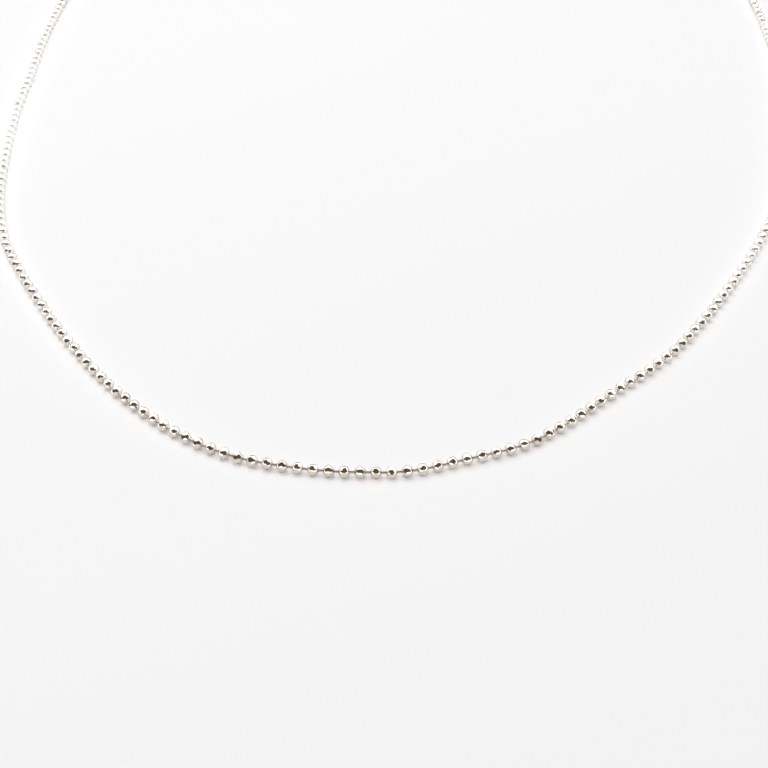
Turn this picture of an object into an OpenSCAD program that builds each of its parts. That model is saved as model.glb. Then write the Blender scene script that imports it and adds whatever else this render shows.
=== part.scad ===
// Ball chain necklace, closed at the back and laid flat in a loop.
// Millimetres, +Z up. The origin is under the middle of the loop, on the surface that it lies on.
// +Y runs from the front of the loop to the clasp at the back, and +X to the right.

/* [Chain] */
// Diameter of one ball
ball_d = 1.2; // [1:0.1:1.3]
// Diameter of the link wire between two balls
wire_d = 0.3; // [0.2:0.05:0.35]
// Distance from one ball to the next along the chain
pitch = 1.6; // [1.5:0.05:1.7]

/* [Clasp] */
// Length of the clasp
clasp_l = 5; // [4.6:0.1:5]
// Wall thickness of the clasp
clasp_wall = 0.2; // [0.15:0.05:0.3]
// Thickness of the lip that holds an end ball in
clasp_lip = 0.25; // [0.2:0.05:0.3]
// Room around an end ball inside the clasp
ball_room = 0.15; // [0.1:0.05:0.2]
// Room around the wire in the slot of the clasp
wire_room = 0.075; // [0.05:0.025:0.1]

/* [Hidden] */

ball_r = ball_d / 2;
wire_r = wire_d / 2;
bore_r = ball_r + ball_room;
clasp_r = bore_r + clasp_wall;
slot_r = wire_r + wire_room;
clasp_y = 83;
edge_cut = 0.12;
round_fn = 64;

// The chain climbs from the surface to the axis of the clasp over this stretch
climb_run = 7;
climb = clasp_r - ball_r;

// An end ball lies close behind its lip, and the next ball close outside it
end_gap = 0.05;
end_ball_x = clasp_l / 2 - clasp_lip - end_gap - ball_r;
first_ball_x = end_ball_x + pitch;

// Sides of the swept solid, laid with a flat side down, and rings in each stretch of the route
sides = 8;
rings = 2;
corner = 1 / cos(180 / sides);

// Route of the ball centres in plan, as x and y, from the left of the clasp round the front to its right
route = [
    [-first_ball_x, clasp_y], [-9.5, 82.5], [-19.5, 80], [-31.5, 74], [-42, 65], [-50, 53.5],
    [-55, 40.5], [-56.5, 27], [-56.5, 14.5], [-55.5, 0], [-54.5, -13], [-51.5, -31.5],
    [-48, -43], [-44, -50.5], [-39.5, -57.5], [-34.5, -64.5], [-28, -72], [-21, -78],
    [-14.5, -81.5], [-8.5, -83], [-2, -83.5], [4.5, -83], [10, -81], [16, -78.5],
    [20.5, -75], [25, -70.5], [31.5, -64], [36, -58], [40.5, -50.5], [45, -42],
    [49.5, -31.5], [53, -18.5], [55, -4.5], [56.5, 11.5], [56.5, 27], [55, 40.5],
    [50, 53.5], [42, 65], [31.5, 74], [19.5, 80], [9.5, 82.5], [first_ball_x, clasp_y]
];
last = len(route) - 1;

// Helper points past both ends, so that the route runs straight along X into the clasp
before = [2 * route[0][0] - route[1][0], route[1][1]];
after = [2 * route[last][0] - route[last - 1][0], route[last - 1][1]];
function stop(i) = i < 0 ? before : i > last ? after : route[i];

// Smooth curve through the route: place and direction at u, from 0 to 1, in stretch i
function place(i, u) = (
    2 * stop(i)
    + (stop(i + 1) - stop(i - 1)) * u
    + (2 * stop(i - 1) - 5 * stop(i) + 4 * stop(i + 1) - stop(i + 2)) * u * u
    + (3 * stop(i) - stop(i - 1) - 3 * stop(i + 1) + stop(i + 2)) * u * u * u
) / 2;
function heading(i, u) = (
    stop(i + 1) - stop(i - 1)
    + 2 * (2 * stop(i - 1) - 5 * stop(i) + 4 * stop(i + 1) - stop(i + 2)) * u
    + 3 * (3 * stop(i) - stop(i - 1) - 3 * stop(i + 1) + stop(i + 2)) * u * u
) / 2;

// Height of the chain's axis at place p: on the surface, and rising to the clasp near the two ends
function away(p) = min(norm(p - route[0]), norm(p - route[last])) / climb_run;
function ease(t) = t >= 1 ? 0 : (1 - t) * (1 - t) * (1 + 2 * t);
function height(p) = ball_r + climb * ease(away(p));

// One ring of the sweep about centre p, across direction d, with radius r to its flat sides
function ring(p, z, d, r) = [
    for (k = [0:sides - 1])
        let (a = (k + 0.5) * 360 / sides, s = r * corner)
        [p[0] + s * cos(a) * d[1], p[1] - s * cos(a) * d[0], z + s * sin(a)]
];

// Half of a ball as [distance from its centre, radius] pairs, from the link wire to its widest place
pole = asin(wire_d / ball_d);
half_ball = [for (a = [pole, 50, 90]) [ball_r * cos(a), ball_r * sin(a)]];

// An end ball, its wire through the lip and the start of the next ball, from the middle of the clasp out
end_rings = [
    for (b = half_ball) [end_ball_x - b[0], b[1]],
    for (k = [1, 0]) [end_ball_x + half_ball[k][0], half_ball[k][1]],
    for (k = [0, 1]) [first_ball_x - half_ball[k][0], half_ball[k][1]]
];
end_n = len(end_rings);

chain_rings = [
    for (e = end_rings) ring([-e[0], clasp_y], clasp_r, [-1, 0], e[1]),
    for (i = [0:last - 1], j = [0:rings - 1])
        let (p = place(i, j / rings), h = heading(i, j / rings))
        ring(p, height(p), h / norm(h), ball_r),
    ring(route[last], height(route[last]), [-1, 0], ball_r),
    for (k = [end_n - 1:-1:0]) ring([end_rings[k][0], clasp_y], clasp_r, [-1, 0], end_rings[k][1])
];

// The chain's solid: its outer form along the whole route, with the two end balls inside the clasp
module ball_chain() {
    n = len(chain_rings);
    color([0.82, 0.82, 0.8])
    polyhedron(
        points = [for (r = chain_rings, p = r) p],
        faces = [
            [for (k = [0:sides - 1]) k],
            for (i = [0:n - 2], k = [0:sides - 1])
                let (a = i * sides + k, b = i * sides + (k + 1) % sides)
                [a, a + sides, b + sides, b],
            [for (k = [sides - 1:-1:0]) (n - 1) * sides + k]
        ],
        convexity = 10
    );
}

// Profile of the clasp's wall, as x along it and y out from its axis
module clasp_wall_profile() {
    half = clasp_l / 2;
    difference() {
        polygon([
            [-half, 0], [-half, clasp_r - edge_cut], [-half + edge_cut, clasp_r],
            [half - edge_cut, clasp_r], [half, clasp_r - edge_cut], [half, 0]
        ]);
        translate([-half + clasp_lip, -1])
            square([clasp_l - 2 * clasp_lip, bore_r + 1]);
    }
}

// A sleeve with a lip at each end. A ball goes in at the round hole and its wire runs along the slot.
module clasp() {
    color([0.78, 0.78, 0.76])
    translate([0, clasp_y, clasp_r])
    difference() {
        rotate([0, 90, 0])
            rotate_extrude($fn = round_fn)
                rotate([0, 0, -90])
                    clasp_wall_profile();
        rotate([0, 90, 0])
            cylinder(r = slot_r, h = clasp_l + 1, center = true, $fn = round_fn);
        translate([-clasp_l / 2 - 0.5, -slot_r, 0])
            cube([clasp_l + 1, 2 * slot_r, clasp_r + 1]);
        cylinder(r = ball_r + wire_room, h = clasp_r + 1, $fn = round_fn);
    }
}

ball_chain();
clasp();
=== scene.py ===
"""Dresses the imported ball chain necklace: cut silver balls, link wires, a sleeve clasp and a pale studio."""

import math
import random

import bmesh
import bpy
from bpy.props import FloatProperty, FloatVectorProperty, IntProperty, PointerProperty
from bpy.types import Operator, Panel, PropertyGroup
from mathutils import Matrix, Vector


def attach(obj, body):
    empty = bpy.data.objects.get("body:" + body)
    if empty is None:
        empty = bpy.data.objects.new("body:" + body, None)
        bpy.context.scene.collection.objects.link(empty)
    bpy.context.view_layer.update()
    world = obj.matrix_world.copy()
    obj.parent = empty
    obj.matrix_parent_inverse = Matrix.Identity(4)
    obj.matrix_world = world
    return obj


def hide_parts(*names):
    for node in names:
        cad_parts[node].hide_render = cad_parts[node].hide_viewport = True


bl_info = {
    "name": "Ball Chain Necklace",
    "version": (1, 0, 0),
    "blender": (4, 5, 0),
    "location": "3D View > Sidebar > Necklace",
    "description": "Strings cut silver balls along the packed chain, makes its clasp and sets the studio",
    "category": "Object",
}

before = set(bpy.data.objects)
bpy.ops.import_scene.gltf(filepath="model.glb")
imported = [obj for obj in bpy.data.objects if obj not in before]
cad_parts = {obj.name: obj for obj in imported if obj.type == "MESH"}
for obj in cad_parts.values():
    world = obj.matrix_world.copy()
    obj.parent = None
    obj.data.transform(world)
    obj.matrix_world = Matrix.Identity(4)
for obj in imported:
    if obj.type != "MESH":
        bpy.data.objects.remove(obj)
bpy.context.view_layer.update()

# Pieces are modelled in millimetres and brought to metres as their last step.
MM = 0.001

# The chain's way in millimetres, as in the part's source: the clasp, the climb up to it and the last balls.
CLASP_Y = 83.0
CLASP_AXIS = 0.95
CLIMB_RUN = 7.0
END_BALL_X = 1.6
FIRST_BALL_X = 3.2

# Ball centres in plan, from the left of the clasp round the front to its right.
ROUTE = (
    (-FIRST_BALL_X, CLASP_Y), (-9.5, 82.5), (-19.5, 80), (-31.5, 74), (-42, 65), (-50, 53.5),
    (-55, 40.5), (-56.5, 27), (-56.5, 14.5), (-55.5, 0), (-54.5, -13), (-51.5, -31.5),
    (-48, -43), (-44, -50.5), (-39.5, -57.5), (-34.5, -64.5), (-28, -72), (-21, -78),
    (-14.5, -81.5), (-8.5, -83), (-2, -83.5), (4.5, -83), (10, -81), (16, -78.5),
    (20.5, -75), (25, -70.5), (31.5, -64), (36, -58), (40.5, -50.5), (45, -42),
    (49.5, -31.5), (53, -18.5), (55, -4.5), (56.5, 11.5), (56.5, 27), (55, 40.5),
    (50, 53.5), (42, 65), (31.5, 74), (19.5, 80), (9.5, 82.5), (FIRST_BALL_X, CLASP_Y),
)
# Places worked out along each stretch of the route, between which the balls are set at even steps.
STEPS_PER_STRETCH = 120
# A chain has at least this many balls.
FEWEST_BALLS = 3

# Rows of flat cuts on a ball: degrees from its middle towards a wire hole, and the turn in cuts.
CUT_ROWS = ((0, 0.0), (36, 0.5), (-36, 0.5), (64, 0.0), (-64, 0.0))
# Each cut strays by up to this many degrees, and in depth by this share of the ball's radius.
CUT_WANDER = 3.0
CUT_DEPTH_WANDER = 0.02
# The blank is this many times as wide as the ball, so that the cuts take all of its skin.
BLANK_SHARE = 1.5
# The dimple at each wire hole, in millimetres: the rim left round it, and its depth.
HOLE_RIM = 0.05
HOLE_DEPTH = 0.07
# How far the cuts shade as domed, where 0 is flat and 1 is the round ball.
CUT_ROUNDING = 0.5
# Above this cosine between a face's normal and the way out from the ball's centre, the face is a cut, and
# below it a wall of a dimple.
CUT_LEAN = 0.5
# A point this close to a cutting plane, in millimetres, counts as lying on it.
ON_THE_CUT = 1e-5

# On the chain a ball tilts by up to this many degrees and lies up to this many millimetres to one side.
BALL_TILT = 5.0
SIDE_SLACK = 0.03
# Seeds of the random draws: one for each ball variant, counting up from the first, and one for the stringing.
FIRST_BALL_SEED = 11
STRINGING_SEED = 5
# Each ball and wire keeps its own tone of silver in this attribute of the strand's points.
OWN_TONE = "own_tone"

# The link wire: its sides, how many times thicker it is at a ball, and its colour as a share of the balls'.
WIRE_SIDES = 10
WIRE_SHOULDER = 1.12
# The wire's colour is painted darker than the balls', as painted shade between them.
WIRE_PAINTED_SHADE = 0.62
# Distance from a ball's centre, in ball radii, to the wire's end and to its thickest place.
WIRE_END = 0.66
WIRE_NECK = 0.9
# The wire is thin again at this share of the way from its middle to its thickest place.
WIRE_THIN = 0.6
# Points this close to the thickest place, in millimetres, are moved with it.
NECK_REACH = 1e-3

# The clasp's round forms have this many sides.
SLEEVE_SIDES = 64
SLOT_SIDES = 32
BALL_HOLE_SIDES = 48
BORE_SIDES = 60
# Its two ends are rounded, and then all sharp edges are broken, both in millimetres.
END_ROUNDING = 0.12
END_ROUNDING_STEPS = 3
BROKEN_EDGE = 0.03
BROKEN_EDGE_STEPS = 2
# An edge that turns by more than this many degrees is a sharp one.
SHARP_EDGE = 35.0
# A cutting tool reaches this many millimetres past the sleeve.
TOOL_REACH = 1.0
# Faces are picked by how far their normal points along an axis: the ends of a ball and of the sleeve, and
# the upper half of the slot's tool.
BALL_END = 0.995
SLEEVE_END = 0.9
UPPER_HALF = 0.01

# Finish of each silver: noise scales of its wipe marks and of its soft swell, and the relief in metres.
CUT_FINISH = (5000.0, 900.0, 0.000012)
WIRE_FINISH = (9000.0, 2500.0, 0.000003)
CLASP_FINISH = (2500.0, 700.0, 0.00001)
# Wipe marks come on over this range of their noise. Next to the swell their relief is small. Where they are
# strongest, the silver is this many times as rough.
MARK_RANGE = (0.35, 0.7)
MARK_RELIEF = 0.06
MARK_ROUGHENING = 1.8
# Toning comes from patches, over this range of their noise, and from each piece's own tone, in these shares.
PATCH_RANGE = (0.3, 0.7)
PATCH_SHARE = 0.5
OWN_SHARE = 0.5

# The sides of the loop are painted paler than its front and back, as painted light, and are rougher. Along Y,
# in metres, this comes on between the first two places and fades out between the other two. Then the added
# roughness.
PAINTED_LIGHT_FROM, PAINTED_LIGHT_TO = -0.082, -0.02
PAINTED_LIGHT_UNTIL, PAINTED_LIGHT_GONE = -0.01, 0.085
SIDES_ADDED_ROUGHNESS = 0.24

# The floor is a round matt board, with its radius in metres, and with clouds that are barely darker than it.
FLOOR_RADIUS = 4.0
FLOOR_SIDES = 96
BOARD_ROUGHNESS = 0.9
BOARD_GLOSS = 0.1
CLOUD_SCALE = 14.0
CLOUD_SHADE = 0.99

# The soft light, in metres: the side of its square, its place, and where it aims.
WINDOW_SIDE = 0.5
WINDOW_PLACE = (-0.1, 0.1, 0.45)
WINDOW_AIM = (0.0, -0.03, 0.0)

# Dark openings of the tent, as name, half width and depth, and place in metres. The front one makes the small
# dark spot that each ball shows to the camera, and the others do the same for other sides.
OPENINGS = (
    ("front_opening", (0.46, 0.115), (0.0, -0.188)),
    ("back_opening", (0.46, 0.115), (0.0, 0.2)),
    ("left_opening", (0.08, 0.2), (-0.28, 0.0)),
    ("right_opening", (0.08, 0.2), (0.28, 0.0)),
)
OPENING_HEIGHT = 0.07
OPENING_SIDES = 64
OPENING_COLOUR = (0.115, 0.105, 0.097, 1.0)
WHITE = (1.0, 1.0, 1.0, 1.0)

# The camera's sensor in millimetres, and the nearest and furthest that it sees, in metres.
SENSOR_WIDTH = 36.0
NEAREST, FURTHEST = 0.001, 20.0

# A Mix node has a pair of sockets named A and B for each kind of value, so those for colours go by place.
MIX_SHARE, MIX_FIRST, MIX_SECOND, MIX_RESULT = 0, 6, 7, 2


# Sizes and colours that a user would change.

class ChainSizes(PropertyGroup):
    """Sizes of the chain."""

    ball_diameter: FloatProperty(
        name="Ball diameter", description="Across the flat cuts of one ball",
        default=1.2 * MM, min=1.0 * MM, max=1.3 * MM, unit="LENGTH", subtype="DISTANCE", precision=5)
    spacing: FloatProperty(
        name="Ball spacing", description="From one ball to the next along the chain",
        default=1.6 * MM, min=1.5 * MM, max=1.7 * MM, unit="LENGTH", subtype="DISTANCE", precision=5)
    wire_diameter: FloatProperty(
        name="Wire diameter", description="Diameter of the link wire between two balls",
        default=0.3 * MM, min=0.2 * MM, max=0.35 * MM, unit="LENGTH", subtype="DISTANCE", precision=5)
    cuts_around: IntProperty(
        name="Cuts around", description="Flat cuts in each row round a ball",
        default=8, min=6, max=10)
    variants: IntProperty(
        name="Ball variants", description="Differently cut balls that are mixed along the chain",
        default=6, min=1, max=12)


class ClaspSizes(PropertyGroup):
    """Sizes of the sleeve clasp."""

    length: FloatProperty(
        name="Length", description="Length of the sleeve",
        default=5.0 * MM, unit="LENGTH", subtype="DISTANCE", precision=5)
    wall: FloatProperty(
        name="Wall", description="Wall thickness of the sleeve",
        default=0.2 * MM, unit="LENGTH", subtype="DISTANCE", precision=5)
    lip: FloatProperty(
        name="Lip", description="Thickness of the lip at each end",
        default=0.25 * MM, unit="LENGTH", subtype="DISTANCE", precision=5)
    ball_room: FloatProperty(
        name="Room around the ball", description="Room between an end ball and the bore",
        default=0.15 * MM, unit="LENGTH", subtype="DISTANCE", precision=5)
    wire_room: FloatProperty(
        name="Room around the wire", description="Room between the wire and the slot",
        default=0.075 * MM, unit="LENGTH", subtype="DISTANCE", precision=5)


class SilverLook(PropertyGroup):
    """Finish of the silver."""

    bright: FloatVectorProperty(
        name="Bright silver", description="Colour of freshly cut silver",
        default=(0.75, 0.69, 0.63), min=0, max=1, size=3, subtype="COLOR")
    warm: FloatVectorProperty(
        name="Warm silver", description="Colour where the silver has lightly toned",
        default=(0.66, 0.59, 0.52), min=0, max=1, size=3, subtype="COLOR")
    # This paler colour at the sides of the loop is painted light.
    clean: FloatVectorProperty(
        name="Silver painted paler at the sides", description="Colour at the sides of the loop, painted paler as painted light",
        default=(0.88, 0.855, 0.83), min=0, max=1, size=3, subtype="COLOR")
    cut_roughness: FloatProperty(
        name="Cut roughness", description="Roughness of the cut faces",
        default=0.08, min=0, max=1, subtype="FACTOR")
    wire_roughness: FloatProperty(
        name="Wire roughness", description="Roughness of the drawn wire",
        default=0.07, min=0, max=1, subtype="FACTOR")
    clasp_roughness: FloatProperty(
        name="Clasp roughness", description="Roughness of the pressed sleeve",
        default=0.2, min=0, max=1, subtype="FACTOR")


class StudioLook(PropertyGroup):
    """Floor, light and camera."""

    floor_colour: FloatVectorProperty(
        name="Floor colour", description="Colour of the pale floor",
        default=(0.735, 0.735, 0.74), min=0, max=1, size=3, subtype="COLOR")
    tent_seen: FloatProperty(
        name="Tent seen in the silver",
        description="Brightness of the white tent where the silver mirrors it",
        default=1.95, min=0)
    tent_light: FloatProperty(
        name="Tent light", description="Brightness of the light that the tent gives the floor",
        default=0.84, min=0)
    tent_thrown: FloatProperty(
        name="Tent thrown by the silver",
        description="Brightness of the tent in the light that the silver throws on the floor",
        default=4.4, min=0)
    window_power: FloatProperty(
        name="Soft light", description="Power of the large soft light behind the necklace",
        default=1.45, min=0, unit="POWER")
    camera_height: FloatProperty(
        name="Camera height", description="Height of the camera above the floor",
        default=96.12 * MM, unit="LENGTH", subtype="DISTANCE", precision=5)
    camera_back: FloatProperty(
        name="Camera distance", description="Distance of the camera in front of the middle of the loop",
        default=183.68 * MM, unit="LENGTH", subtype="DISTANCE", precision=5)
    camera_side: FloatProperty(
        name="Camera offset", description="Distance of the camera to the right of the middle of the loop",
        default=7.02 * MM, unit="LENGTH", subtype="DISTANCE", precision=5)
    camera_down: FloatProperty(
        name="Camera tilt", description="Angle of the camera below the horizon",
        default=math.radians(39.85), unit="ROTATION", subtype="ANGLE")
    camera_turn: FloatProperty(
        name="Camera turn", description="Turn of the camera to the left",
        default=math.radians(3.0), unit="ROTATION", subtype="ANGLE")
    lens: FloatProperty(
        name="Lens", description="Focal length of the camera",
        default=64.125, unit="CAMERA", subtype="DISTANCE_CAMERA")


# Small helpers for modelling.

def clear_selection():
    """Leave edit mode and deselect everything."""
    if bpy.context.object and bpy.context.object.mode != "OBJECT":
        bpy.ops.object.mode_set(mode="OBJECT")
    bpy.ops.object.select_all(action="DESELECT")


def select_only(pieces):
    """Select these pieces, with the first one active."""
    clear_selection()
    for piece in pieces:
        piece.select_set(True)
    bpy.context.view_layer.objects.active = pieces[0]


def pick_faces(piece, wanted):
    """In edit mode, select just the faces for which wanted(face) is true."""
    bpy.ops.mesh.select_mode(type="FACE")
    mesh = bmesh.from_edit_mesh(piece.data)
    for face in mesh.faces:
        face.select_set(False)
    for face in mesh.faces:
        if wanted(face):
            face.select_set(True)
    mesh.select_flush_mode()
    bmesh.update_edit_mesh(piece.data)


def pick_points(piece, wanted):
    """In edit mode, select just the points for which wanted(place) is true."""
    bpy.ops.mesh.select_mode(type="VERT")
    mesh = bmesh.from_edit_mesh(piece.data)
    for point in mesh.verts:
        point.select_set(wanted(point.co))
    mesh.select_flush_mode()
    bmesh.update_edit_mesh(piece.data)


def cut_flat(normal, depth):
    """In edit mode, cut a flat face across everything at this depth and throw the outer side away."""
    bpy.ops.mesh.select_all(action="SELECT")
    bpy.ops.mesh.bisect(
        plane_co=normal * depth, plane_no=normal, use_fill=True, clear_outer=True, threshold=ON_THE_CUT)


def bar_along_x(radius, length, sides):
    """A round bar along X about the origin, with its turn in its mesh."""
    clear_selection()
    bpy.ops.mesh.primitive_cylinder_add(
        vertices=sides, radius=radius, depth=length, rotation=(0, math.pi / 2, 0))
    bpy.ops.object.transform_apply(location=True, rotation=True, scale=True)
    return bpy.context.object


def cut_away(piece, tool):
    """Take the tool's shape out of the piece, and the tool with it."""
    select_only([piece])
    hole = piece.modifiers.new("Hole", "BOOLEAN")
    hole.operation = "DIFFERENCE"
    hole.solver = "EXACT"
    hole.object = tool
    bpy.ops.object.modifier_apply(modifier=hole.name)
    bpy.data.objects.remove(tool)


def to_metres(piece):
    """Bring a piece from millimetres to metres, with its place in its mesh."""
    select_only([piece])
    piece.scale = (MM, MM, MM)
    bpy.ops.object.transform_apply(location=True, rotation=True, scale=True)


# The chain's way.

def route_point(index):
    """A point of the route, or a helper point past either end that keeps the end straight along X."""
    last = len(ROUTE) - 1
    if index < 0:
        return Vector((2 * ROUTE[0][0] - ROUTE[1][0], ROUTE[1][1]))
    if index > last:
        return Vector((2 * ROUTE[last][0] - ROUTE[last - 1][0], ROUTE[last - 1][1]))
    return Vector(ROUTE[index])


def place_on_route(index, u):
    """Plan place at u, from 0 to 1, in one stretch of the route."""
    a, b, c, d = (route_point(index + k) for k in (-1, 0, 1, 2))
    return (2 * b + (c - a) * u + (2 * a - 5 * b + 4 * c - d) * u * u
            + (3 * b - a - 3 * c + d) * u ** 3) / 2


def climb_share(place):
    """0 on the floor, rising to 1 where the chain goes into the clasp."""
    ends = (Vector(ROUTE[0]), Vector(ROUTE[-1]))
    t = min((place - end).length for end in ends) / CLIMB_RUN
    return 0.0 if t >= 1 else (1 - t) ** 2 * (1 + 2 * t)


def ball_places(ball_r, spacing):
    """Centres of all balls at even steps along the chain, and each one's share of the climb."""
    line = []
    for index in range(len(ROUTE) - 1):
        for step in range(STEPS_PER_STRETCH):
            line.append(place_on_route(index, step / STEPS_PER_STRETCH))
    line.append(Vector(ROUTE[-1]))
    along = [0.0]
    for a, b in zip(line, line[1:]):
        along.append(along[-1] + (b - a).length)
    gaps = round(along[-1] / spacing)
    places, k = [], 0
    for n in range(gaps + 1):
        reach = along[-1] * n / gaps
        while k < len(line) - 2 and along[k + 1] < reach:
            k += 1
        share = (reach - along[k]) / (along[k + 1] - along[k])
        plan = line[k].lerp(line[k + 1], min(1.0, share))
        climb = climb_share(plan)
        places.append((Vector((plan.x, plan.y, ball_r + (CLASP_AXIS - ball_r) * climb)), climb))
    left_end = (Vector((-END_BALL_X, CLASP_Y, CLASP_AXIS)), 1.0)
    right_end = (Vector((END_BALL_X, CLASP_Y, CLASP_AXIS)), 1.0)
    return [left_end] + places + [right_end]


def facing(direction, roll=0.0, tilt=(0.0, 0.0)):
    """A turn that rolls about X, tilts a little and then lays X along the direction, with Z upright."""
    x = direction.normalized()
    y = Vector((0, 0, 1)).cross(x).normalized()
    z = x.cross(y)
    turn = Matrix((x, y, z)).transposed()
    turn = turn @ Matrix.Rotation(tilt[0], 3, "Y") @ Matrix.Rotation(tilt[1], 3, "Z")
    return (turn @ Matrix.Rotation(roll, 3, "X")).to_4x4()


# Shader groups and materials.

def new_group(name, inputs, outputs):
    """A shader node group with named sockets, given as (name, kind, default)."""
    group = bpy.data.node_groups.new(name, "ShaderNodeTree")
    for label, kind, default in inputs:
        socket = group.interface.new_socket(name=label, in_out="INPUT", socket_type=kind)
        if default is not None:
            socket.default_value = default
    for label, kind in outputs:
        group.interface.new_socket(name=label, in_out="OUTPUT", socket_type=kind)
    return group, group.nodes.new("NodeGroupInput"), group.nodes.new("NodeGroupOutput")


def node(tree, kind, settings=None, **values):
    """A node of this kind, with its settings and the values of its named input sockets."""
    made = tree.nodes.new(kind)
    for name, value in (settings or {}).items():
        setattr(made, name, value)
    for name, value in values.items():
        made.inputs[name.replace("_", " ")].default_value = value
    return made


def remap(tree, source, low, high, to_low, to_high):
    """A Map Range node's result, which takes a value from one range to another."""
    spread = node(tree, "ShaderNodeMapRange")
    for socket, value in zip(("From Min", "From Max", "To Min", "To Max"), (low, high, to_low, to_high)):
        spread.inputs[socket].default_value = value
    tree.links.new(source, spread.inputs["Value"])
    return spread.outputs["Result"]


def mix_colours(tree, share, first, second):
    """A Mix node's colour between the first, which is a colour or a socket, and the second, a colour."""
    mix = node(tree, "ShaderNodeMix", {"data_type": "RGBA"})
    tree.links.new(share, mix.inputs[MIX_SHARE])
    if isinstance(first, bpy.types.NodeSocket):
        tree.links.new(first, mix.inputs[MIX_FIRST])
    else:
        mix.inputs[MIX_FIRST].default_value = (*first, 1.0)
    mix.inputs[MIX_SECOND].default_value = (*second, 1.0)
    return mix.outputs[MIX_RESULT]


def by_light_path(tree, output, first, second):
    """The first shader or, on rays for which this output of Light Path is 1 or more, the second."""
    rays = node(tree, "ShaderNodeLightPath")
    either = node(tree, "ShaderNodeMixShader")
    tree.links.new(rays.outputs[output], either.inputs["Fac"])
    tree.links.new(first, either.inputs[1])
    tree.links.new(second, either.inputs[2])
    return either.outputs["Shader"]


def handling_marks_group():
    """Fine wipe marks and a soft unevenness, as a mask for roughness and a height for bump."""
    group, inside, outside = new_group(
        "Handling Marks",
        [("Vector", "NodeSocketVector", None), ("Mark Scale", "NodeSocketFloat", 4000.0),
         ("Swell Scale", "NodeSocketFloat", 1200.0)],
        [("Mask", "NodeSocketFloat"), ("Height", "NodeSocketFloat")])
    marks = node(group, "ShaderNodeTexNoise", Detail=3.0, Roughness=0.6, Distortion=0.8)
    swell = node(group, "ShaderNodeTexNoise", Detail=1.0, Roughness=0.4)
    for noise, scale in ((marks, "Mark Scale"), (swell, "Swell Scale")):
        group.links.new(inside.outputs["Vector"], noise.inputs["Vector"])
        group.links.new(inside.outputs[scale], noise.inputs["Scale"])
    fine = node(group, "ShaderNodeMath", {"operation": "MULTIPLY"})
    fine.inputs[1].default_value = MARK_RELIEF
    total = node(group, "ShaderNodeMath", {"operation": "ADD"})
    group.links.new(marks.outputs["Fac"], fine.inputs[0])
    group.links.new(fine.outputs["Value"], total.inputs[0])
    group.links.new(swell.outputs["Fac"], total.inputs[1])
    group.links.new(remap(group, marks.outputs["Fac"], *MARK_RANGE, 0.0, 1.0), outside.inputs["Mask"])
    group.links.new(total.outputs["Value"], outside.inputs["Height"])
    return group


def warm_toning_group():
    """A mask of where silver has toned a little warmer, uneven along the chain and from ball to ball."""
    group, inside, outside = new_group(
        "Warm Toning",
        [("Vector", "NodeSocketVector", None), ("Patch Scale", "NodeSocketFloat", 60.0),
         ("Own Tone", "NodeSocketFloat", 0.5)],
        [("Mask", "NodeSocketFloat")])
    patches = node(group, "ShaderNodeTexNoise", Detail=2.0, Roughness=0.5)
    group.links.new(inside.outputs["Vector"], patches.inputs["Vector"])
    group.links.new(inside.outputs["Patch Scale"], patches.inputs["Scale"])
    mixed = node(group, "ShaderNodeMath", {"operation": "MULTIPLY_ADD"})
    mixed.inputs[1].default_value = OWN_SHARE
    group.links.new(inside.outputs["Own Tone"], mixed.inputs[0])
    group.links.new(remap(group, patches.outputs["Fac"], *PATCH_RANGE, 0.0, PATCH_SHARE), mixed.inputs[2])
    group.links.new(mixed.outputs["Value"], outside.inputs["Mask"])
    return group


def shared_groups():
    """The shader groups that the silver materials share, built once."""
    found = bpy.data.node_groups
    return {
        "marks": found.get("Handling Marks") or handling_marks_group(),
        "toning": found.get("Warm Toning") or warm_toning_group(),
    }


def painted_light_sides_mask(tree, where):
    """A mask of the sides of the loop, painted paler as painted light and made rougher, from the place along
    Y.
    """
    place = node(tree, "ShaderNodeSeparateXYZ")
    tree.links.new(where, place.inputs["Vector"])
    comes_on = remap(tree, place.outputs["Y"], PAINTED_LIGHT_FROM, PAINTED_LIGHT_TO, 0.0, 1.0)
    fades_out = remap(tree, place.outputs["Y"], PAINTED_LIGHT_UNTIL, PAINTED_LIGHT_GONE, 1.0, 0.0)
    painted_light_sides = node(tree, "ShaderNodeMath", {"operation": "MULTIPLY"})
    tree.links.new(comes_on, painted_light_sides.inputs[0])
    tree.links.new(fades_out, painted_light_sides.inputs[1])
    return painted_light_sides.outputs["Value"]


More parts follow.
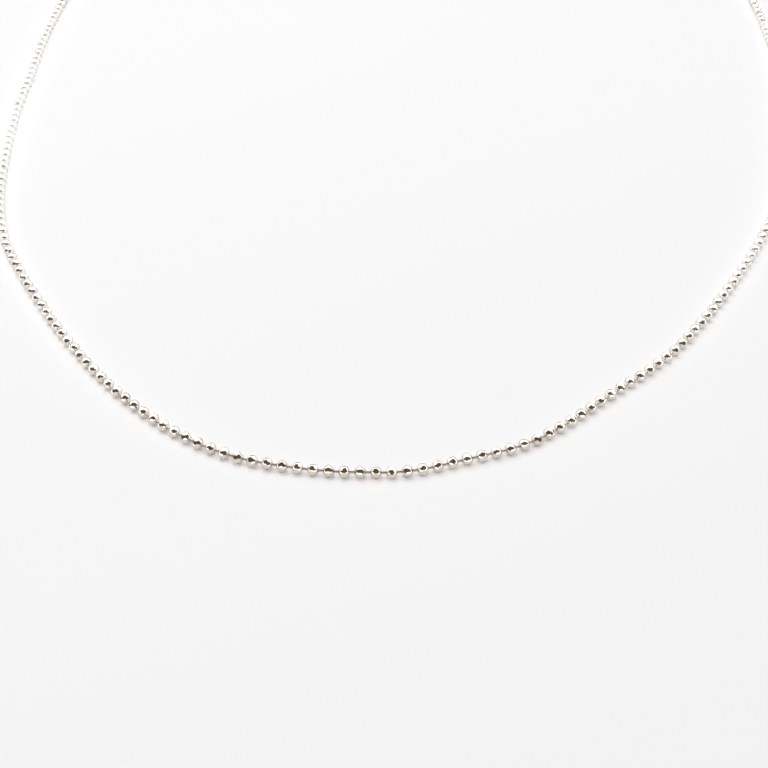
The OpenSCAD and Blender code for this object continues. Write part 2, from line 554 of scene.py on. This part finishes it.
def silver_material(name, look, roughness, finish, own_tone=False, shade=1.0):
    """Polished silver: slightly uneven colour, wipe marks in its gloss and a faint swell in its faces."""
    mark_scale, swell_scale, relief_height = finish
    groups = shared_groups()
    material = bpy.data.materials.new(name)
    material.use_nodes = True
    tree = material.node_tree
    shader = tree.nodes["Principled BSDF"]
    shader.inputs["Metallic"].default_value = 1.0
    where = node(tree, "ShaderNodeTexCoord").outputs["Object"]
    marks = node(
        tree, "ShaderNodeGroup", {"node_tree": groups["marks"]},
        Mark_Scale=mark_scale, Swell_Scale=swell_scale)
    toning = node(tree, "ShaderNodeGroup", {"node_tree": groups["toning"]})
    tree.links.new(where, marks.inputs["Vector"])
    tree.links.new(where, toning.inputs["Vector"])
    if own_tone:
        tone = node(tree, "ShaderNodeAttribute", {"attribute_name": OWN_TONE})
        tree.links.new(tone.outputs["Fac"], toning.inputs["Own Tone"])
    # A shade below 1 darkens the colour as painted shade, as on the wire between the balls.
    bright = [shade * c for c in look.bright]
    warm = [shade * c for c in look.warm]
    toned = mix_colours(tree, toning.outputs["Mask"], bright, warm)
    # The sides of the loop take the paler colour as painted light, and more roughness.
    painted_light_sides = painted_light_sides_mask(tree, where)
    tree.links.new(mix_colours(tree, painted_light_sides, toned, look.clean), shader.inputs["Base Color"])
    gloss = remap(tree, marks.outputs["Mask"], 0.0, 1.0, roughness, roughness * MARK_ROUGHENING)
    dulled = node(tree, "ShaderNodeMath", {"operation": "MULTIPLY_ADD"})
    dulled.inputs[1].default_value = SIDES_ADDED_ROUGHNESS
    tree.links.new(painted_light_sides, dulled.inputs[0])
    tree.links.new(gloss, dulled.inputs[2])
    tree.links.new(dulled.outputs["Value"], shader.inputs["Roughness"])
    relief = node(tree, "ShaderNodeBump", Strength=1.0, Distance=relief_height)
    tree.links.new(marks.outputs["Height"], relief.inputs["Height"])
    tree.links.new(relief.outputs["Normal"], shader.inputs["Normal"])
    return material


def floor_material(look):
    """Matt white board with barely visible clouds."""
    material = bpy.data.materials.new("Matt White Board")
    material.use_nodes = True
    tree = material.node_tree
    shader = tree.nodes["Principled BSDF"]
    shader.inputs["Roughness"].default_value = BOARD_ROUGHNESS
    shader.inputs["Specular IOR Level"].default_value = BOARD_GLOSS
    where = node(tree, "ShaderNodeTexCoord").outputs["Object"]
    cloud = node(tree, "ShaderNodeTexNoise", Scale=CLOUD_SCALE, Detail=2.0)
    tree.links.new(where, cloud.inputs["Vector"])
    darker = [c * CLOUD_SHADE for c in look.floor_colour]
    tree.links.new(
        mix_colours(tree, cloud.outputs["Fac"], look.floor_colour, darker), shader.inputs["Base Color"])
    return material


def opening_material(look):
    """Dark where the silver mirrors it, and as bright as the tent in what the silver throws on the floor."""
    material = bpy.data.materials.new("Dark Opening")
    material.use_nodes = True
    tree = material.node_tree
    tree.nodes.remove(tree.nodes["Principled BSDF"])
    dark = node(tree, "ShaderNodeEmission", Color=OPENING_COLOUR)
    thrown = node(tree, "ShaderNodeEmission", Strength=look.tent_thrown)
    shown = by_light_path(tree, "Diffuse Depth", dark.outputs["Emission"], thrown.outputs["Emission"])
    tree.links.new(shown, tree.nodes["Material Output"].inputs["Surface"])
    return material


# The strand.

def cut_ball(name, seed, chain):
    """One hollow-looking ball with its wire holes along X: rows of flat cuts, and a dimple at each hole."""
    wander = random.Random(seed)
    ball_r = chain.ball_diameter / 2 / MM
    clear_selection()
    bpy.ops.mesh.primitive_ico_sphere_add(subdivisions=2, radius=ball_r * BLANK_SHARE)
    ball = bpy.context.object
    ball.name = name
    bpy.ops.object.mode_set(mode="EDIT")
    for row, turn in CUT_ROWS:
        for k in range(chain.cuts_around):
            lean = math.radians(row + wander.uniform(-CUT_WANDER, CUT_WANDER))
            around = math.tau * (k + turn) / chain.cuts_around
            around += math.radians(wander.uniform(-CUT_WANDER, CUT_WANDER))
            normal = Vector((
                math.sin(lean), math.cos(lean) * math.cos(around), math.cos(lean) * math.sin(around)))
            cut_flat(normal, ball_r * (1 + wander.uniform(-CUT_DEPTH_WANDER, CUT_DEPTH_WANDER)))
    for side in (-1, 1):
        cut_flat(Vector((side, 0, 0)), ball_r)
    pick_faces(ball, lambda face: abs(face.normal.x) > BALL_END)
    bpy.ops.mesh.inset(thickness=HOLE_RIM, depth=-HOLE_DEPTH)
    bpy.ops.mesh.select_all(action="SELECT")
    bpy.ops.mesh.normals_make_consistent(inside=False)
    bpy.ops.object.mode_set(mode="OBJECT")
    bpy.ops.object.shade_smooth()
    round_the_cuts(ball)
    return ball


def round_the_cuts(ball):
    """Let the cuts shade as slightly domed, as polished ones do, with an edge still showing between them."""
    normals = []
    for face in ball.data.polygons:
        for corner in face.vertices:
            domed = ball.data.vertices[corner].co.normalized()
            if face.normal.dot(domed) > CUT_LEAN:
                normals.append(face.normal.lerp(domed, CUT_ROUNDING).normalized())
            else:
                normals.append(face.normal.copy())
    ball.data.normals_split_custom_set(normals)


def link_wire(name, chain):
    """One link wire along X, slightly thicker at each ball, with its ends inside the balls' holes."""
    ball_r = chain.ball_diameter / 2 / MM
    half = chain.spacing / 2 / MM - ball_r * WIRE_END
    neck = chain.spacing / 2 / MM - ball_r * WIRE_NECK
    wire = bar_along_x(chain.wire_diameter / 2 / MM, 2 * half, WIRE_SIDES)
    wire.name = name
    bpy.ops.object.mode_set(mode="EDIT")
    for x in (-neck, -neck * WIRE_THIN, neck * WIRE_THIN, neck):
        bpy.ops.mesh.select_all(action="SELECT")
        bpy.ops.mesh.bisect(plane_co=(x, 0, 0), plane_no=(1, 0, 0), threshold=ON_THE_CUT)
    pick_points(wire, lambda place: abs(abs(place.x) - neck) < NECK_REACH)
    bpy.ops.transform.resize(value=(1, WIRE_SHOULDER, WIRE_SHOULDER), center_override=(0, 0, 0))
    bpy.ops.object.mode_set(mode="OBJECT")
    bpy.ops.object.shade_smooth()
    return wire


def lay_copy(master, matrix, name, material, tone):
    """A copy of the master with its own mesh, laid in place, with its own tone for the silver."""
    mesh = master.data.copy()
    mesh.transform(matrix)
    mesh.materials.clear()
    mesh.materials.append(material)
    tones = mesh.attributes.new(OWN_TONE, "FLOAT", "POINT")
    tones.data.foreach_set("value", [tone] * len(mesh.vertices))
    copy = bpy.data.objects.new(name, mesh)
    bpy.context.scene.collection.objects.link(copy)
    return copy


def lay_balls(places, balls, ball_r, material, shuffle):
    """Turned balls at their places, set aside a little and resting on the floor, and their centres."""
    copies, centres = [], []
    for n, (centre, climb) in enumerate(places):
        before, after = places[max(0, n - 1)][0], places[min(len(places) - 1, n + 1)][0]
        tilt = [math.radians(shuffle.uniform(-BALL_TILT, BALL_TILT)) for _ in range(2)]
        turn = facing(after - before, shuffle.uniform(0, math.tau), tilt)
        master = shuffle.choice(balls)
        side = (turn @ Vector((0, 0, 1))).cross(after - before).normalized()
        slack = shuffle.uniform(-SIDE_SLACK, SIDE_SLACK) * (1 - climb)
        lowest = min((turn @ point.co).z for point in master.data.vertices)
        centre = centre + Vector((side.x, side.y, 0)) * slack
        centre.z -= (ball_r + lowest) * (1 - climb)
        centres.append(centre)
        laid = Matrix.Translation(centre) @ turn
        copies.append(lay_copy(master, laid, f"ball_{n}", material, shuffle.random()))
    return copies, centres


def lay_wires(centres, wire, spacing, material, shuffle):
    """Link wires between each ball and the next, stretched to fit."""
    copies = []
    for n, (a, b) in enumerate(zip(centres, centres[1:])):
        stretch = Matrix.Diagonal(((b - a).length / spacing, 1, 1, 1))
        turn = facing(b - a, shuffle.uniform(0, math.tau))
        laid = Matrix.Translation((a + b) / 2) @ turn @ stretch
        copies.append(lay_copy(wire, laid, f"wire_{n}", material, shuffle.random()))
    return copies


class NECKLACE_OT_string_balls(Operator):
    """String cut silver balls on link wires along the chain's way, as one joined strand"""

    bl_idname = "necklace.string_balls"
    bl_label = "String the Balls"

    def execute(self, context):
        chain, look = context.scene.necklace_chain, context.scene.necklace_silver
        ball_r, spacing = chain.ball_diameter / 2 / MM, chain.spacing / MM
        cut_silver = silver_material("Cut Silver", look, look.cut_roughness, CUT_FINISH, own_tone=True)
        wire_silver = silver_material(
            "Drawn Silver Wire", look, look.wire_roughness, WIRE_FINISH, own_tone=True, shade=WIRE_PAINTED_SHADE)
        balls = [cut_ball(f"ball_master_{k}", FIRST_BALL_SEED + k, chain) for k in range(chain.variants)]
        wire = link_wire("wire_master", chain)
        places = ball_places(ball_r, spacing)
        if len(places) < FEWEST_BALLS:
            raise RuntimeError("the chain's way is too short for its balls")
        shuffle = random.Random(STRINGING_SEED)
        copies, centres = lay_balls(places, balls, ball_r, cut_silver, shuffle)
        copies += lay_wires(centres, wire, spacing, wire_silver, shuffle)
        for master in balls + [wire]:
            bpy.data.objects.remove(master)
        select_only(copies)
        bpy.ops.object.join()
        strand = context.object
        strand.name = "ball_chain_strand"
        to_metres(strand)
        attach(strand, "root")
        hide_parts("ball_chain")
        return {"FINISHED"}


# The clasp.

def rounded_bar(name, radius, length):
    """A bar along X with rounded ends, which the clasp is cut from."""
    bar = bar_along_x(radius, length, SLEEVE_SIDES)
    bar.name = name
    bpy.ops.object.mode_set(mode="EDIT")
    pick_faces(bar, lambda face: abs(face.normal.x) > SLEEVE_END)
    bpy.ops.mesh.bevel(
        offset=END_ROUNDING, offset_type="OFFSET", segments=END_ROUNDING_STEPS, affect="EDGES")
    bpy.ops.object.mode_set(mode="OBJECT")
    return bar


def slot_tool(radius, length, rise):
    """A tool for the wire's slot: a bar along X with its upper half drawn up past the sleeve."""
    slot = bar_along_x(radius, length, SLOT_SIDES)
    bpy.ops.object.mode_set(mode="EDIT")
    pick_faces(slot, lambda face: face.normal.z > UPPER_HALF)
    bpy.ops.mesh.extrude_region_move(TRANSFORM_OT_translate={"value": (0, 0, rise)})
    bpy.ops.object.mode_set(mode="OBJECT")
    return slot


def ball_hole_tool(radius, rise):
    """A tool for the round hole where an end ball goes in: an upright bar from the sleeve's axis upwards."""
    clear_selection()
    bpy.ops.mesh.primitive_cylinder_add(
        vertices=BALL_HOLE_SIDES, radius=radius, depth=rise, location=(0, 0, rise / 2))
    return bpy.context.object


def break_edges(piece):
    """Bevel the piece's sharp edges finely and shade the rest of it smooth."""
    select_only([piece])
    soft = piece.modifiers.new("Broken Edges", "BEVEL")
    soft.width = BROKEN_EDGE
    soft.segments = BROKEN_EDGE_STEPS
    soft.limit_method = "ANGLE"
    soft.angle_limit = math.radians(SHARP_EDGE)
    bpy.ops.object.modifier_apply(modifier=soft.name)
    bpy.ops.object.shade_smooth_by_angle(angle=math.radians(SHARP_EDGE))


class NECKLACE_OT_make_clasp(Operator):
    """Make the sleeve clasp with its lips, wire slot and round ball hole, with softly broken edges"""

    bl_idname = "necklace.make_clasp"
    bl_label = "Make the Clasp"

    def execute(self, context):
        chain, sizes = context.scene.necklace_chain, context.scene.necklace_clasp
        look = context.scene.necklace_silver
        ball_r, wire_r = chain.ball_diameter / 2 / MM, chain.wire_diameter / 2 / MM
        length, lip, wire_room = sizes.length / MM, sizes.lip / MM, sizes.wire_room / MM
        bore_r = ball_r + sizes.ball_room / MM
        outer_r = bore_r + sizes.wall / MM
        rise = outer_r + TOOL_REACH
        sleeve = rounded_bar("clasp_sleeve", outer_r, length)
        cut_away(sleeve, slot_tool(wire_r + wire_room, length + TOOL_REACH, rise))
        cut_away(sleeve, ball_hole_tool(ball_r + wire_room, rise))
        cut_away(sleeve, bar_along_x(bore_r, length - 2 * lip, BORE_SIDES))
        break_edges(sleeve)
        sleeve.location = (0, CLASP_Y, CLASP_AXIS)
        bpy.ops.object.transform_apply(location=True, rotation=True, scale=True)
        to_metres(sleeve)
        sleeve.data.materials.clear()
        sleeve.data.materials.append(
            silver_material("Pressed Silver", look, look.clasp_roughness, CLASP_FINISH))
        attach(sleeve, "root")
        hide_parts("clasp")
        return {"FINISHED"}


# The studio.

def lay_floor(look):
    """The pale floor."""
    clear_selection()
    bpy.ops.mesh.primitive_circle_add(vertices=FLOOR_SIDES, radius=FLOOR_RADIUS, fill_type="NGON")
    floor = bpy.context.object
    floor.name = "pale_floor"
    floor.data.materials.append(floor_material(look))


def put_up_tent(scene, look):
    """A white tent, with its own brightness in the silver, on the floor and in what the silver throws."""
    world = bpy.data.worlds.new("White Tent")
    scene.world = world
    world.use_nodes = True
    tree = world.node_tree
    given = tree.nodes["Background"]
    given.inputs["Color"].default_value = WHITE
    given.inputs["Strength"].default_value = look.tent_light
    seen = node(tree, "ShaderNodeBackground", Color=WHITE, Strength=look.tent_seen)
    thrown = node(tree, "ShaderNodeBackground", Color=WHITE, Strength=look.tent_thrown)
    mirrored = by_light_path(
        tree, "Diffuse Depth", seen.outputs["Background"], thrown.outputs["Background"])
    tent = by_light_path(tree, "Is Diffuse Ray", mirrored, given.outputs["Background"])
    tree.links.new(tent, tree.nodes["World Output"].inputs["Surface"])


def hang_window(scene, look):
    """The large soft light over the back left, which the silver doesn't mirror."""
    lamp = bpy.data.lights.new("soft_window", "AREA")
    lamp.energy = look.window_power
    lamp.shape = "SQUARE"
    lamp.size = WINDOW_SIDE
    window = bpy.data.objects.new("soft_window", lamp)
    scene.collection.objects.link(window)
    window.visible_glossy = False
    window.location = WINDOW_PLACE
    aim = Vector(WINDOW_AIM) - window.location
    window.rotation_euler = aim.to_track_quat("-Z", "Y").to_euler()


def hang_opening(name, half_size, place, material):
    """A dark opening of the tent, which only the silver sees."""
    clear_selection()
    bpy.ops.mesh.primitive_circle_add(vertices=OPENING_SIDES, radius=1.0, fill_type="NGON")
    opening = bpy.context.object
    opening.name = name
    opening.scale = (*half_size, 1.0)
    opening.location = (*place, OPENING_HEIGHT)
    bpy.ops.object.transform_apply(location=True, rotation=True, scale=True)
    opening.visible_camera = False
    opening.visible_diffuse = False
    opening.visible_shadow = False
    opening.data.materials.append(material)


def set_camera(scene, look):
    """The camera at the photograph's place and angle."""
    eye = bpy.data.cameras.new("photo_camera")
    eye.lens = look.lens
    eye.sensor_width = SENSOR_WIDTH
    eye.clip_start = NEAREST
    eye.clip_end = FURTHEST
    camera = bpy.data.objects.new("photo_camera", eye)
    scene.collection.objects.link(camera)
    camera.location = (look.camera_side, -look.camera_back, look.camera_height)
    camera.rotation_euler = (math.pi / 2 - look.camera_down, 0.0, look.camera_turn)
    scene.camera = camera


class NECKLACE_OT_set_studio(Operator):
    """Lay the pale floor, put up the white tent with its dark openings, and set the camera"""

    bl_idname = "necklace.set_studio"
    bl_label = "Set the Studio"

    def execute(self, context):
        scene, look = context.scene, context.scene.necklace_studio
        scene.view_settings.view_transform = "Standard"
        lay_floor(look)
        put_up_tent(scene, look)
        hang_window(scene, look)
        dark = opening_material(look)
        for name, half_size, place in OPENINGS:
            hang_opening(name, half_size, place, dark)
        set_camera(scene, look)
        return {"FINISHED"}


class NECKLACE_PT_sidebar(Panel):
    """The necklace's sizes, finishes and steps."""

    bl_idname = "NECKLACE_PT_sidebar"
    bl_label = "Ball Chain Necklace"
    bl_space_type = "VIEW_3D"
    bl_region_type = "UI"
    bl_category = "Necklace"

    def draw(self, context):
        groups = (
            (context.scene.necklace_chain, "necklace.string_balls"),
            (context.scene.necklace_clasp, "necklace.make_clasp"),
            (context.scene.necklace_silver, None),
            (context.scene.necklace_studio, "necklace.set_studio"),
        )
        for values, operator in groups:
            box = self.layout.box()
            for name in values.__annotations__:
                box.prop(values, name)
            if operator:
                box.operator(operator)


CLASSES = (
    ChainSizes, ClaspSizes, SilverLook, StudioLook,
    NECKLACE_OT_string_balls, NECKLACE_OT_make_clasp, NECKLACE_OT_set_studio, NECKLACE_PT_sidebar,
)


def register():
    """Add the sizes, the looks, the steps and the panel."""
    for cls in CLASSES:
        bpy.utils.register_class(cls)
    bpy.types.Scene.necklace_chain = PointerProperty(type=ChainSizes)
    bpy.types.Scene.necklace_clasp = PointerProperty(type=ClaspSizes)
    bpy.types.Scene.necklace_silver = PointerProperty(type=SilverLook)
    bpy.types.Scene.necklace_studio = PointerProperty(type=StudioLook)


def unregister():
    """Take them away again."""
    for name in ("necklace_chain", "necklace_clasp", "necklace_silver", "necklace_studio"):
        delattr(bpy.types.Scene, name)
    for cls in reversed(CLASSES):
        bpy.utils.unregister_class(cls)


def main():
    """Build the strand, the clasp and the studio."""
    register()
    bpy.ops.necklace.set_studio()
    bpy.ops.necklace.string_balls()
    bpy.ops.necklace.make_clasp()


if __name__ == "__main__":
    main()
